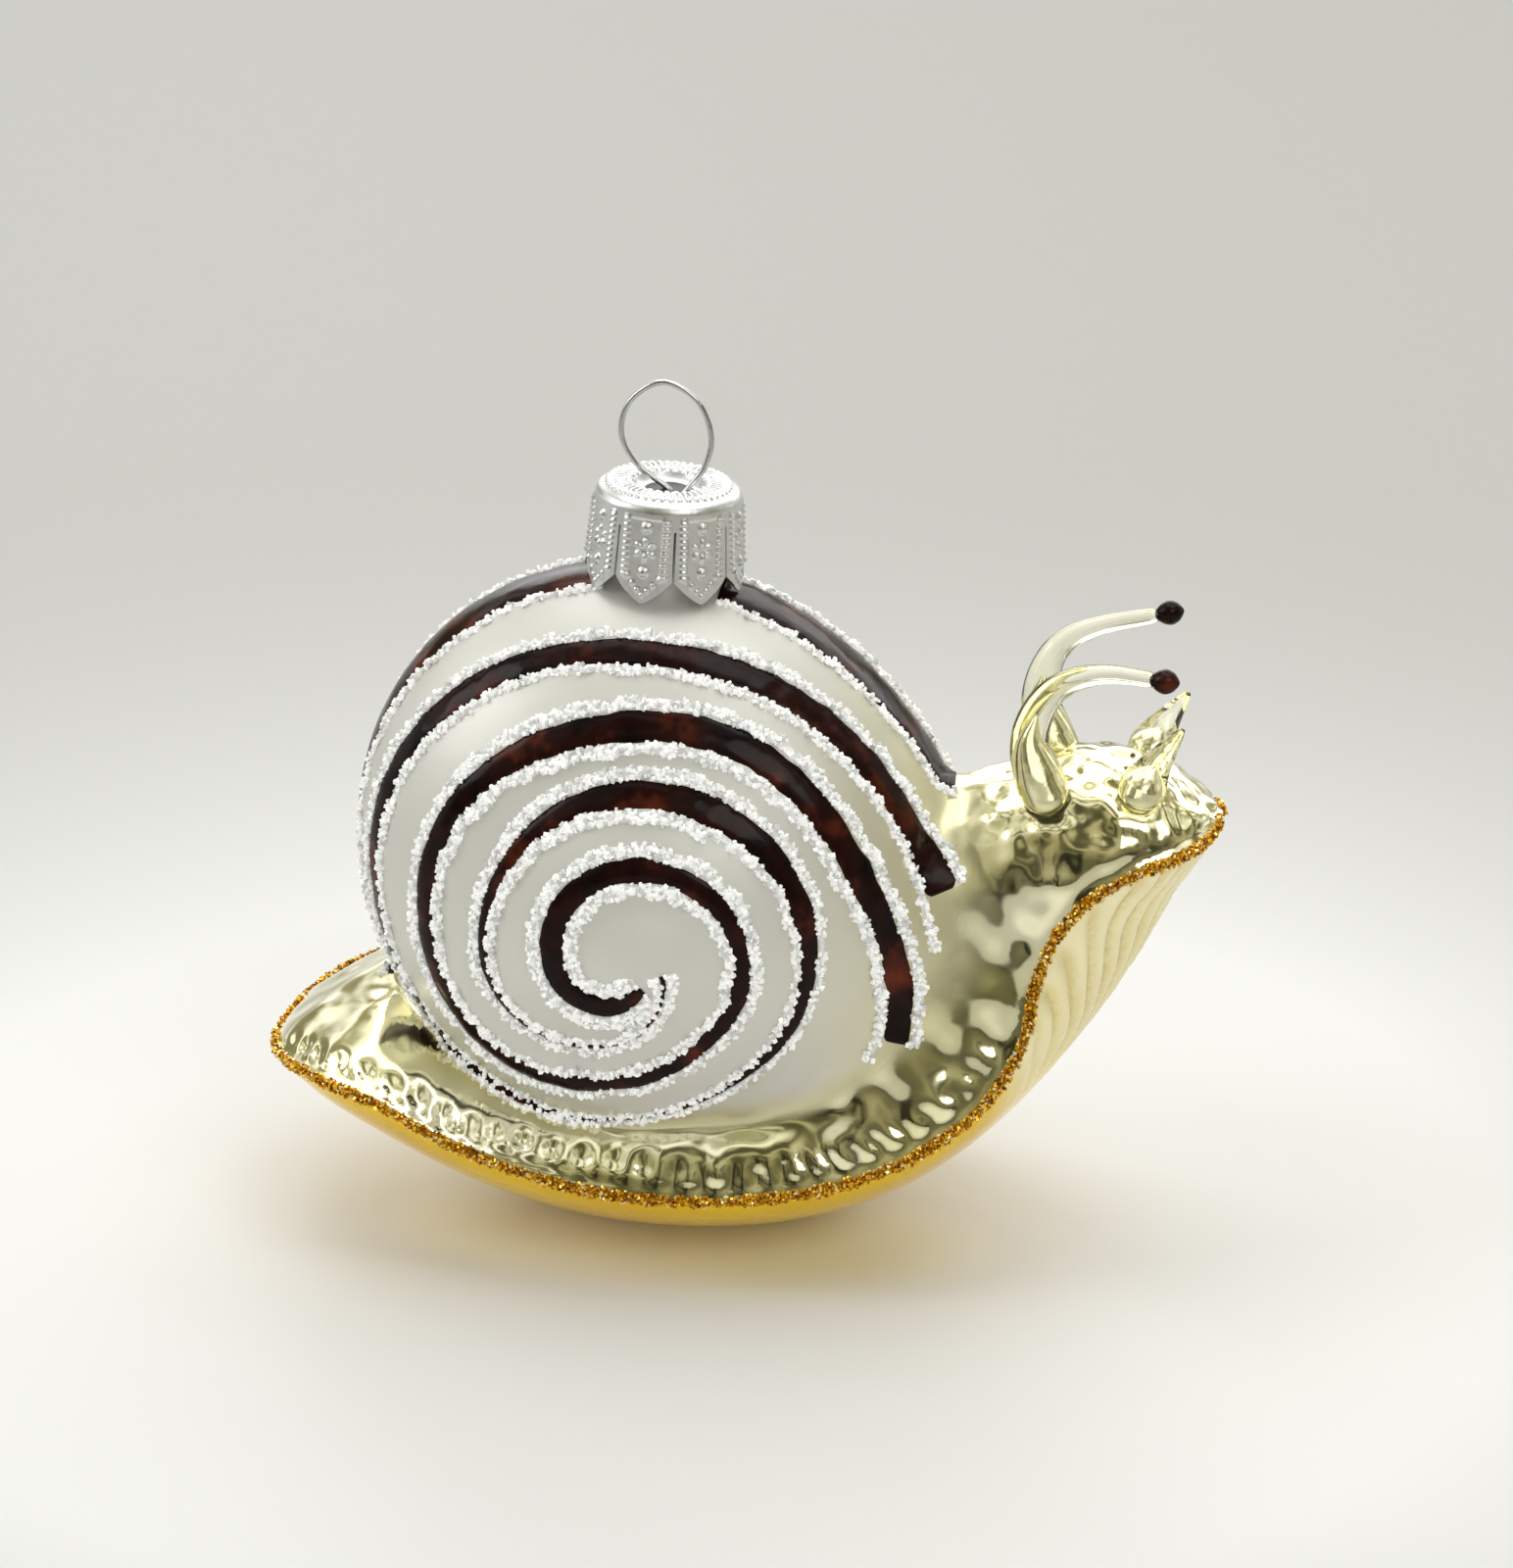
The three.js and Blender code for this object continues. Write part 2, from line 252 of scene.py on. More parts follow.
def spline(points, t):
    # centripetal Catmull-Rom through points, t from 0 to 1 by point number
    p = np.asarray(points, float)
    t = np.asarray(t, float)
    p = np.concatenate([[2 * p[0] - p[1]], p, [2 * p[-1] - p[-2]]])
    place = np.clip(t, 0, 1) * (len(p) - 3)
    i = np.minimum(place.astype(int), len(p) - 4)
    w = (place - i)[..., None]
    a, b, c, d = p[i], p[i + 1], p[i + 2], p[i + 3]
    ab, bc, cd = (np.maximum(np.linalg.norm(q, axis=-1, keepdims=True), 1e-4) ** 0.5
                  for q in (b - a, c - b, d - c))
    m1 = ((b - a) / ab - (c - a) / (ab + bc) + (c - b) / bc) * bc
    m2 = ((c - b) / bc - (d - b) / (bc + cd) + (d - c) / cd) * bc
    square, cube = w ** 2, w ** 3
    return ((2 * cube - 3 * square + 1) * b + (cube - 2 * square + w) * m1
            + (3 * square - 2 * cube) * c + (cube - square) * m2)


def crestRadius(angle):
    s = shellShape
    oval = s["ovalAmount"] * np.cos(2 * (angle - math.radians(s["ovalAngle"])))
    return s["radius"] + oval + s["leanAmount"] * np.cos(angle - math.radians(s["leanAngle"]))


def turnsAt(turn):
    # radius holds over the top of each turn and widens under the bottom
    whole = np.floor(turn)
    return 0.15 * (turn - 0.3) + 0.85 * (whole + smoothstep(0.12, 0.48, turn - whole))


def whorlRelief(share, angle):
    w = whorls
    reach = np.maximum((share * shellShape["radius"]) ** 2 - w["apexRadius"] ** 2, 0)
    turns = w["start"] + np.sqrt(reach) / w["pitch"]
    place = (turns - turnsAt(angle / (2 * math.pi) % 1) - w["suture"]) % 1
    bulge = ((4 * place * (1 - place)) ** 2 + w["softness"]) ** 0.375 - 0.9
    return w["relief"] * bulge * smoothstep(*w["fadeIn"], share) * (1 - smoothstep(*w["fadeOut"], share))


def shellPoint(share, angle, side):
    s = shellShape
    radius = share * (s["radius"] + (crestRadius(angle) - s["radius"]) * share ** 2)
    fall = np.maximum(1 - share ** s["profilePower"], 0) ** (1 / s["profileRoot"])
    height = (s["halfThickness"] + whorlRelief(share, angle)) * fall
    x, z = s["axisX"] + radius * np.cos(angle), s["axisZ"] - radius * np.sin(angle)
    return np.stack([x, side * height, z], -1)


def shellMesh():
    rows, around = shellShape["across"], shellShape["around"]
    across = np.linspace(0, 1, rows)[1:-1, None]
    angle = np.linspace(0, 2 * math.pi, around, endpoint=False)[None]
    across, angle = np.broadcast_arrays(across, angle)
    rings = shellPoint(np.sin(math.pi * across), angle, np.where(across < 0.5, -1.0, 1.0))
    return tubeMesh(rings)


footLook = dict(along=420, around=200,
                dimplePitch=3.0, dimpleSize=1.05, dimpleDepth=0.46, dimpleFrom=(9, 16), dimpleTo=(92, 104),
                lipDepth=0.22, lipPlace=1.3, lipWidth=0.7, tailEnd=(0.2, 0.34),
                hammer=0.17, side=0.2, neck=0.3, head=0.2, pleat=0.8)


def footPoint(along, angle):
    s = spline(stations, along)
    rim, back, keel = s[..., [0, 2]], s[..., [3, 4]], s[..., [5, 6]]
    above = np.sin(angle) >= 0
    ridge = 1 + 0.45 * (1 - smoothstep(*footLook["tailEnd"], along))  # the tail's back is a soft ridge
    power = np.where(above, ridge, 1.35)
    reach = np.abs(np.sin(angle)) ** power
    side = -np.sign(np.cos(angle)) * np.abs(np.cos(angle)) ** power
    xz = rim + np.where(above[..., None], back - rim, keel - rim) * reach[..., None]
    return np.stack([xz[..., 0], s[..., 1] * side, xz[..., 1]], -1)


def vertexNormals(points, faces):
    faces = np.asarray(faces)
    normals = np.zeros_like(points)
    cross = np.cross(points[faces[:, 2]] - points[faces[:, 0]], points[faces[:, 3]] - points[faces[:, 1]])
    for k in range(4):
        np.add.at(normals, faces[:, k], cross)
    return normals / np.maximum(np.linalg.norm(normals, axis=1, keepdims=True), 1e-12)


def footMesh():
    f = footLook
    rows = f["along"]
    along = (np.arange(1, rows - 1) / (rows - 1))[:, None]
    angle = np.linspace(0, 2 * math.pi, f["around"], endpoint=False)[None]
    along, angle = np.broadcast_arrays(along, angle)
    rings = footPoint(along, angle)
    grid = gridFaces(rows - 2, f["around"], wrapColumns=True)
    flat = rings.reshape(-1, 3)
    normals = vertexNormals(flat, outward(flat, grid)).reshape(rings.shape)
    # how far round the rim, for the row of dimples
    rimLine = footPoint(along[:, 0], np.zeros(rows - 2))
    length = np.concatenate([[0], np.cumsum(np.linalg.norm(np.diff(rimLine, axis=0), axis=1))])[:, None]
    up = np.sin(angle)
    rimGap = np.linalg.norm(rings - rings[:, :1], axis=-1)
    rimGap = np.minimum(rimGap, np.linalg.norm(rings - rings[:, [f["around"] // 2]], axis=-1))
    phase = (length / f["dimplePitch"] + 0.3 * waves(flat, 26, 5, 1).reshape(up.shape)) % 1 - 0.5
    drift = 2.9 + 0.35 * waves(flat, 11, 6, 1).reshape(up.shape)
    spot = (phase * f["dimplePitch"]) ** 2 + ((rimGap - drift) * 0.8) ** 2
    row = smoothstep(*f["dimpleFrom"], length) * (1 - smoothstep(*f["dimpleTo"], length)) * (up > 0)
    relief = -f["dimpleDepth"] * np.exp(-spot / f["dimpleSize"] ** 2) * row
    # the foot flares to a thin lip at the rim
    lip = np.exp(-((rimGap - f["lipPlace"]) / f["lipWidth"]) ** 2)
    relief += (up > 0) * -f["lipDepth"] * lip * smoothstep(0.02, 0.1, along)
    back = (up > 0) * smoothstep(0.8, 3, rimGap)
    tail = 1 - smoothstep(*f["tailEnd"], along)
    neck = smoothstep(0.42, 0.5, along) * (1 - smoothstep(0.68, 0.74, along))
    head = smoothstep(0.68, 0.76, along)
    for share, size, amount, seed in ((tail, 7.5, f["hammer"], 11), (1 - tail - head, 6.5, f["side"], 12),
                                      (neck, 10, f["neck"], 14), (head, 4.4, f["head"], 15)):
        relief += amount * share * back * waves(flat, size, seed, 2).reshape(up.shape)
    # soft pleats down the throat
    throat = smoothstep(0.55, 0.66, along) * (1 - smoothstep(0.88, 0.95, along)) * smoothstep(0.05, 0.4, -up)
    wander = 1.3 * waves(flat, 16, 13, 2).reshape(up.shape)
    folds = np.sin(rings[..., 1] * 1.7 + 0.55 * rings[..., 2] + wander)
    crease = 1 - np.abs(folds) ** 0.6
    relief -= f["pleat"] * throat * (crease - 0.4)
    return tubeMesh(rings + normals * relief[..., None]), (along, angle, crease * throat)


def leaned(points):
    # cap and pike stand on one axis that leans a little towards the head
    a = math.radians(pikeShape["lean"])
    p = np.asarray(points, float)
    x, y, z = p[..., 0], p[..., 1], p[..., 2]
    return np.stack([x * math.cos(a) + z * math.sin(a) + pikeShape["x"], y,
                     z * math.cos(a) - x * math.sin(a) + pikeShape["z"]], -1)


def latheRings(profile, around):
    profile = np.asarray(profile, float)
    angle = np.linspace(0, 2 * math.pi, around, endpoint=False)
    return np.stack([profile[:, :1] * np.cos(angle), profile[:, :1] * np.sin(angle),
                     np.broadcast_to(profile[:, 1:], (len(profile), around))], -1)


def pikeMesh():
    p = pikeShape
    z = np.linspace(p["root"], p["top"], 40)
    r = p["radius"] + 2.5 * (1 - smoothstep(p["root"], 1.5, z)) ** 2
    return tubeMesh(leaned(latheRings(np.stack([r, z], -1), 64)))


class Distance:
    # signed distance to a closed surface, in millimetres
    deepest = 6.0  # a point farther off than this counts as outside
    touching = 0.02  # nearer than this, the face's own normal is used

    def __init__(self, points, faces):
        self.tree = BVHTree.FromPolygons(np.asarray(points).tolist(), [tuple(f) for f in faces])

    def find(self, points):
        found = [self.tree.find_nearest(p) for p in points.tolist()]
        near = np.array([f[0] for f in found])
        normal = np.array([f[1] for f in found])
        away = points - near
        distance = np.linalg.norm(away, axis=1)
        sign = np.where((np.einsum("ij,ij->i", away, normal) < 0) & (distance < self.deepest), -1.0, 1.0)
        straight = sign[:, None] * away / np.maximum(distance, 1e-9)[:, None]
        way = np.where((distance > self.touching)[:, None], straight, normal)
        return sign * distance, way, np.array([f[2] for f in found])


def softUnion(first, second, k):
    (d1, g1), (d2, g2) = first, second
    h = np.clip(0.5 + 0.5 * (d2 - d1) / k, 0, 1)
    way = g2 + (g1 - g2) * h[:, None]
    return d2 + (d1 - d2) * h - k * h * (1 - h), way / np.linalg.norm(way, axis=1, keepdims=True)


bodyLook = dict(voxel=0.42, crease=1.3, neckBlend=7.5, tighter=0.75, pikeBlend=1.6,
                neckFrom=(8, 24), tightFrom=(40, 48), passes=4)


def remeshed(meshes, voxel):
    points = np.concatenate([m[0] for m in meshes])
    faces, start = [], 0
    for p, f in meshes:
        faces += [[i + start for i in face] for face in f]
        start += len(p)
    source = makePiece("form", points, faces, None)
    remesh = source.modifiers.new("even", "REMESH")
    remesh.mode, remesh.voxel_size = "VOXEL", voxel * mm
    evaluated = source.evaluated_get(bpy.context.evaluated_depsgraph_get())
    mesh = evaluated.to_mesh()
    found = np.empty(len(mesh.vertices) * 3)
    mesh.vertices.foreach_get("co", found)
    polygons = [list(p.vertices) for p in mesh.polygons]
    evaluated.to_mesh_clear()
    bpy.data.objects.remove(source)
    return found.reshape(-1, 3) / mm, polygons


def glassForm():
    b = bodyLook
    shell = shellMesh()
    foot, (along, angle, crease) = footMesh()
    pike = pikeMesh()
    points, faces = remeshed([shell, foot, pike], b["voxel"])
    toShell, toFoot, toPike = Distance(*shell), Distance(*foot), Distance(*pike)
    for _ in range(b["passes"]):
        reach = smoothstep(*b["neckFrom"], points[:, 0])
        reach *= 1 - b["tighter"] * smoothstep(*b["tightFrom"], points[:, 2])
        blend = b["crease"] + (b["neckBlend"] - b["crease"]) * reach
        shellGap, shellWay, _ = toShell.find(points)
        footGap, footWay, footFace = toFoot.find(points)
        union = softUnion((shellGap, shellWay), (footGap, footWay), blend)
        pikeGap, pikeWay, _ = toPike.find(points)
        gap, way = softUnion(union, (pikeGap, pikeWay), np.full(len(points), b["pikeBlend"]))
        points = points - way * gap[:, None]
    grid = footLook["around"]
    footFace = np.minimum(footFace, (footLook["along"] - 3) * grid - 1)
    row, column = footFace // grid, footFace % grid
    belowRim = -np.sin(angle[0][column] + math.pi / grid)
    points[:, 2] = np.maximum(points[:, 2], 0)
    return points, faces, dict(lead=footGap - shellGap, below=belowRim, along=along[:, 0][row],
                               crease=crease[row, column])


print("shaping the glass")
glassPoints, glassFaces, glassZones = glassForm()
glassSurface = Distance(glassPoints, glassFaces)
print("glass body:", len(glassPoints), "points")


paintLook = dict(neckX=(14, 30), neckZ=(16, 40), fade=1.3, neckFade=6.5, paleX=(10, 31), paleZ=(12, 20),
                 throatFrom=(0.53, 0.62), mouthDepth=(1.2, 0.8), mouthRadius=(4.2, 4.6))


def paintZones(points, zones):
    # how far each coat and each painted shade reaches, from 0 to 1 at every point
    p, look = pikeShape, paintLook
    x, z = points[:, 0], points[:, 2]
    near = smoothstep(*look["neckX"], x) * smoothstep(*look["neckZ"], z)
    fade = look["fade"] + look["neckFade"] * near
    lacquer = smoothstep(-fade, 0.6 + 1.2 * near, zones["lead"] + 0.25 * waves(points, 9, 21, 2))
    pale = smoothstep(*look["paleX"], x + 1.5 * waves(points, 14, 22, 1)) * smoothstep(*look["paleZ"], z)
    pale = np.maximum(pale, 1 - smoothstep(0.3, 4.5, zones["lead"]))
    under = smoothstep(-0.02, 0.04, zones["below"]) * (1 - smoothstep(-0.5, 0.5, zones["lead"]))
    throat = under * smoothstep(*look["throatFrom"], zones["along"] + 0.01 * waves(points, 12, 23, 1))
    # painted shade: mouth marks the glass top under the cap's hole, coloured near black as a dark open bore
    axis = leaned(np.array([(0, 0, 0), (0, 0, 1)]))
    rise = (points - axis[0]) @ (axis[1] - axis[0])
    aside = np.linalg.norm(points - axis[0] - rise[:, None] * (axis[1] - axis[0]), axis=1)
    deep, shallow = (p["top"] - depth for depth in look["mouthDepth"])
    mouth = smoothstep(deep, shallow, rise) * (1 - smoothstep(*look["mouthRadius"], aside))
    return dict(lacquer=lacquer, pale=pale, under=under, throat=throat, mouth=mouth,
                crease=zones["crease"] * throat)


def glassFinish():
    f = Finish("painted glass")
    lacquer, pale, under = (f.attribute(n) for n in ("lacquer", "pale", "under"))
    throat, mouth, crease = (f.attribute(n) for n in ("throat", "mouth", "crease"))
    cloud = f.noise(90.0, 3.0)
    fine = f.noise(900.0, 2.0)
    silver = f.mix(cloud.between(0.35, 0.7), colour(0.89, 0.84, 0.48), colour(0.95, 0.91, 0.64))
    pearl = f.mix(pale, colour(0.63, 0.625, 0.585), colour(0.64, 0.60, 0.38))
    belly = f.mix(cloud.between(0.3, 0.7), colour(0.88, 0.55, 0.002), colour(0.95, 0.66, 0.008))
    sole = f.mix(cloud.between(0.3, 0.7), colour(0.86, 0.77, 0.42), colour(0.90, 0.83, 0.54))
    base = f.mix(lacquer, silver, pearl)
    base = f.mix(under, base, belly)
    base = f.mix(throat, base, sole)
    # painted shade: the creases of the throat's pleats are coloured darker amber
    base = f.mix(crease * 0.8, base, colour(0.62, 0.46, 0.10))
    # painted shade: the top under the cap's hole is near black
    base = f.mix(mouth, base, colour(0.012, 0.012, 0.012))
    matte = (lacquer + throat * 0.6).clamped()
    rough = matte * (0.30 - pale * 0.08) + 0.10 + fine * 0.03
    metal = 1.0 - lacquer * (0.75 - pale * 0.3) - throat * 0.5 - (under - throat).clamped() * 0.45 - mouth
    normal = f.bump(f.noise(260.0, 2.0), 0.0004, 0.12)
    coat = (0.6 - lacquer * 0.45 - under * 0.5 - mouth).clamped()
    return f.surface(Base_Color=base, Roughness=rough, Metallic=metal.clamped(), Normal=normal,
                     Coat_Weight=coat, Coat_Roughness=0.12, Coat_IOR=1.6)


glass = makePiece("painted_glass_body", glassPoints, glassFaces, glassFinish(),
                  floats=paintZones(glassPoints, glassZones))
finishPiece(glass, "painted_glass", "glass_body")


# painted bands and the glitter beside them. A band's offset is how many turns out from the growth line it
# runs, glitter widens or narrows the lines, and tail is how many turns the inner line runs on past the end.
bands = [
    dict(name="inner_band", turns=(0.2, 2.068),
         offsets=[(0.2, 0.2), (0.42, 0.03), (0.6, 0.08), (0.9, 0.11), (1.17, 0.08), (1.28, 0.03),
                  (1.41, 0.18), (1.55, 0.13), (1.7, 0.035), (1.83, 0.11), (1.93, 0.09), (2.05, 0.28),
                  (2.1, 0.35)],
         halfWidths=[(0.2, 0.4), (0.33, 1.15), (0.5, 1.4), (0.75, 1.3), (1.0, 0.95), (1.25, 0.95),
                     (1.4, 1.25), (1.6, 1.4), (1.8, 1.8), (1.95, 1.6), (2.068, 1.45)],
         glitter=[(0.2, 1.3), (0.5, 1.2), (0.8, 1.1), (1.0, 0.9), (1.25, 0.6), (1.5, 0.9), (1.75, 1.1),
                  (2.07, 0.9)],
         tail=0.016),
    dict(name="outer_band", turns=(0.03, 1.98),
         offsets=[(0.03, 0.43), (0.16, 0.57), (0.33, 0.6), (0.44, 0.68), (0.6, 0.59), (0.88, 0.62),
                  (1.1, 0.545), (1.26, 0.46), (1.38, 0.64), (1.52, 0.63), (1.65, 0.52), (1.74, 0.48),
                  (1.84, 0.53), (1.965, 0.56), (2.03, 0.6)],
         halfWidths=[(0.03, 0.3), (0.25, 0.2), (0.45, 0.6), (0.6, 0.95), (0.76, 1.6), (0.95, 1.25),
                     (1.1, 0.8), (1.25, 0.3), (1.38, 0.7), (1.5, 1.35), (1.75, 1.6), (1.98, 1.85)],
         glitter=[(0.03, 1.1), (0.25, 0.75), (0.5, 0.9), (0.76, 1.15), (0.95, 0.7), (1.1, 0.45), (1.3, 0.4),
                  (1.5, 0.55), (1.75, 0.75), (1.98, 0.8)],
         tail=0.035)]
crest = dict(  # the crest's band stops under the cap and goes on behind it
    crest=[(0.42, -1.9), (0.49, -1.6), (0.62, -1.2), (0.8, 0.2), (0.95, 0.7)],
    halfWidths=[(0.42, 0.8), (0.46, 2.9), (0.52, 4.2), (0.62, 4.4), (0.8, 4.1), (0.944, 3.7)],
    glitter=[(0.42, 0.6), (0.944, 0.6)], tail=0.0)
bands.append(dict(name="crest_band_back", turns=(0.42, 0.716), **crest))
bands.append(dict(name="crest_band_front", turns=(0.772, 0.944), **crest))
bandLook = dict(step=0.3, across=11, height=0.2, sink=0.15)
glitterLook = dict(density=10.0, size=0.52, pile=0.35, halfWidth=0.5, bed=0.16, coverShare=1.1)
bedShadeTone = 0.12  # painted shade: the bed between the grains is coloured darker than they are


def along(pairs, at):
    turns, values = zip(*pairs)
    spread = spline([(v,) for v in values], np.interp(at, turns, np.linspace(0, 1, len(turns))))
    return spread[:, 0]


def onGlass(points, lift):
    distance, way, _ = glassSurface.find(points)
    on = points - way * distance[:, None]
    _, normal, _ = glassSurface.find(on - way * 0.01)
    lift = np.broadcast_to(lift, len(points))
    return on + normal * lift[:, None]


def sidePath(turn, offset, side):
    w = whorls
    reach = w["pitch"] * (turnsAt(turn) + offset - w["start"])
    share = np.hypot(np.maximum(reach, 0), w["apexRadius"]) / shellShape["radius"]
    return shellPoint(np.minimum(share, 0.995), turn * 2 * math.pi, side)


def crestPath(turn, aside):
    s = shellShape
    share = (1 - np.abs(aside / s["halfThickness"]) ** s["profileRoot"]) ** (1 / s["profilePower"])
    return shellPoint(share, turn * 2 * math.pi, np.sign(aside))


def evenly(path, step):
    length = np.concatenate([[0], np.cumsum(np.linalg.norm(np.diff(path[:, :3], axis=0), axis=1))])
    at = np.linspace(0, length[-1], max(int(length[-1] / step), 4))
    return np.stack([np.interp(at, length, column) for column in path.T], -1), at / at[-1]


def ribbon(path, offset, halfWidth, count):
    # a strip of points across the path, laid on the glass; offset and halfWidth are in millimetres
    distance, way, _ = glassSurface.find(path)
    path = path - way * distance[:, None]
    for _ in range(3):
        path[1:-1] = (path[:-2] + 2 * path[1:-1] + path[2:]) / 4
    forward = np.gradient(path, axis=0)
    _, normal, _ = glassSurface.find(path)
    for _ in range(12):
        normal[1:-1] = (normal[:-2] + 2 * normal[1:-1] + normal[2:]) / 4
    out = np.cross(forward, normal)
    out /= np.linalg.norm(out, axis=1, keepdims=True)
    u = np.linspace(-1, 1, count)
    reach = np.asarray(offset)[..., None] + np.asarray(halfWidth)[..., None] * u
    reach = np.broadcast_to(reach, (len(path), count))
    grid = path[:, None] + out[:, None] * reach[..., None]
    return grid, u


def bandFinish():
    f = Finish("dark enamel")
    streak = f.noise(170.0, 3.0, 0.6)
    base = f.ramp(streak, [(0.35, colour(0.004, 0.002, 0.002)), (0.55, colour(0.016, 0.004, 0.003)),
                           (0.78, colour(0.12, 0.022, 0.008))])
    rough = f.noise(420.0, 2.0) * 0.12 + 0.1
    normal = f.bump(f.noise(350.0, 2.0), 0.0003, 0.25)
    return f.surface(Base_Color=base, Roughness=rough, Metallic=0.0, Normal=normal, Coat_Weight=0.04,
                     Coat_Roughness=0.1, Specular_IOR_Level=0.1)


bandMaterial = bandFinish()


def bandRoute(band, side, tail=0.0):
    # points along the band, its half width at each, and the turn it has reached
    turn = np.linspace(band["turns"][0], band["turns"][1] + tail, 1400)
    if side:
        path = sidePath(turn, along(band["offsets"], turn), side)
    else:
        path = crestPath(turn, along(band["crest"], turn))
    route, _ = evenly(np.concatenate([path, turn[:, None]], 1), bandLook["step"])
    path, turn = route[:, :3], route[:, 3]
    width = along(band["halfWidths"], turn) * (1 + 0.07 * waves(path, 5, 31, 2))
    left = np.arange(len(path))[::-1] * bandLook["step"]
    return path, width * np.minimum(1, (1 if tail else 0.7) + left / 1.5), turn


def bandSides(band):
    return (0,) if "crest" in band else (-1, 1)


def sideName(band, side):
    return band["name"] + {-1: "_right", 1: "_left", 0: ""}[side]


def bandPiece(band, side):
    b = bandLook
    path, width, _ = bandRoute(band, side)
    grid, u = ribbon(path, np.zeros(len(path)), width, b["across"])
    rows = len(path)
    flat = grid.reshape(-1, 3)
    dome = b["height"] * (1 - np.abs(u) ** 3) - 0.04 + 0.03 * waves(flat, 3.5, 33, 2).reshape(rows, -1)
    top = onGlass(flat, dome.ravel()).reshape(rows, -1, 3)
    bottom = onGlass(flat, -b["sink"]).reshape(rows, -1, 3)
    points, faces = tubeMesh(np.concatenate([top, bottom[:, ::-1]], 1))
    return finishPiece(makePiece(sideName(band, side), points, faces, bandMaterial), "black_enamel")


for band in bands:
    for side in bandSides(band):
        bandPiece(band, side)
print("bands laid")


def grainTree(name):
    tree = bpy.data.node_groups.new(name, "GeometryNodeTree")
    face = tree.interface
    face.new_socket("Geometry", in_out="INPUT", socket_type="NodeSocketGeometry")
    sockets = {}
    for label, kind, default in (("Density", "NodeSocketFloat", 1.0), ("Size", "NodeSocketFloat", 0.0003),
                                 ("Pile", "NodeSocketFloat", 0.0002), ("Seed", "NodeSocketInt", 1),
                                 ("Material", "NodeSocketMaterial", None)):
        socket = face.new_socket(label, in_out="INPUT", socket_type=kind)
        if default is not None:
            socket.default_value = default
        sockets[label] = socket.identifier
    face.new_socket("Geometry", in_out="OUTPUT", socket_type="NodeSocketGeometry")

    def add(kind, settings=None, inputs=None):
        node = tree.nodes.new(kind)
        for key, value in (settings or {}).items():
            setattr(node, key, value)
        for key, value in (inputs or {}).items():
            if isinstance(value, bpy.types.NodeSocket):
                tree.links.new(value, node.inputs[key])
            else:
                node.inputs[key].default_value = value
        return node

    entry, leave = tree.nodes.new("NodeGroupInput"), tree.nodes.new("NodeGroupOutput")
    wanted = {s.name: s for s in entry.outputs}
    scatter = add("GeometryNodeDistributePointsOnFaces", {"distribute_method": "RANDOM"},
                  {"Mesh": wanted["Geometry"], "Density": wanted["Density"], "Seed": wanted["Seed"]})
    pile = add("FunctionNodeRandomValue", {"data_type": "FLOAT"}, {2: -0.25, 3: 1.0, "Seed": wanted["Seed"]})
    height = add("ShaderNodeMath", {"operation": "MULTIPLY"}, {0: pile.outputs[1], 1: wanted["Pile"]})
    lift = add("ShaderNodeVectorMath", {"operation": "SCALE"},
               {0: scatter.outputs["Normal"], "Scale": height.outputs[0]})
    raised = add("GeometryNodeSetPosition", {},
                 {"Geometry": scatter.outputs["Points"], "Offset": lift.outputs[0]})
    grain = add("GeometryNodeMeshCube", {}, {"Size": (1.0, 1.0, 1.0)})
    turn = add("FunctionNodeRandomValue", {"data_type": "FLOAT_VECTOR"},
               {0: (0.0, 0.0, 0.0), 1: (6.28, 6.28, 6.28), "Seed": 3})
    stretch = add("FunctionNodeRandomValue", {"data_type": "FLOAT_VECTOR"},
                  {0: (0.45, 0.45, 0.35), 1: (1.1, 1.1, 0.8), "Seed": 4})
    scale = add("ShaderNodeVectorMath", {"operation": "SCALE"},
                {0: stretch.outputs[0], "Scale": wanted["Size"]})
    placed = add("GeometryNodeInstanceOnPoints", {},
                 {"Points": raised.outputs[0], "Instance": grain.outputs[0], "Rotation": turn.outputs[0],
                  "Scale": scale.outputs[0]})
    tone = add("FunctionNodeRandomValue", {"data_type": "FLOAT"}, {2: 0.0, 3: 1.0, "Seed": 5})
    toned = add("GeometryNodeStoreNamedAttribute", {"data_type": "FLOAT", "domain": "INSTANCE"},
                {"Geometry": placed.outputs[0], "Name": "tone", "Value": tone.outputs[1]})
    real = add("GeometryNodeRealizeInstances", {}, {"Geometry": toned.outputs[0]})
    painted = add("GeometryNodeSetMaterial", {},
                  {"Geometry": real.outputs[0], "Material": wanted["Material"]})
    tree.links.new(painted.outputs[0], leave.inputs[0])
    return tree, sockets


grains, grainSockets = grainTree("grains")


def scattered(name, stripPoints, stripFaces, material, look, seed):
    strip = makePiece(name + "_strip", stripPoints, stripFaces, material)
    modifier = strip.modifiers.new("grains", "NODES")
    modifier.node_group = grains
    for label, value in (("Density", look["density"] / mm ** 2), ("Size", look["size"] * mm),
                         ("Pile", look["pile"] * mm), ("Seed", seed), ("Material", material)):
        modifier[grainSockets[label]] = value
    evaluated = strip.evaluated_get(bpy.context.evaluated_depsgraph_get())
    mesh = bpy.data.meshes.new_from_object(evaluated)
    bpy.data.objects.remove(strip)
    piece = bpy.data.objects.new(name, mesh)
    bpy.context.scene.collection.objects.link(piece)
    return piece


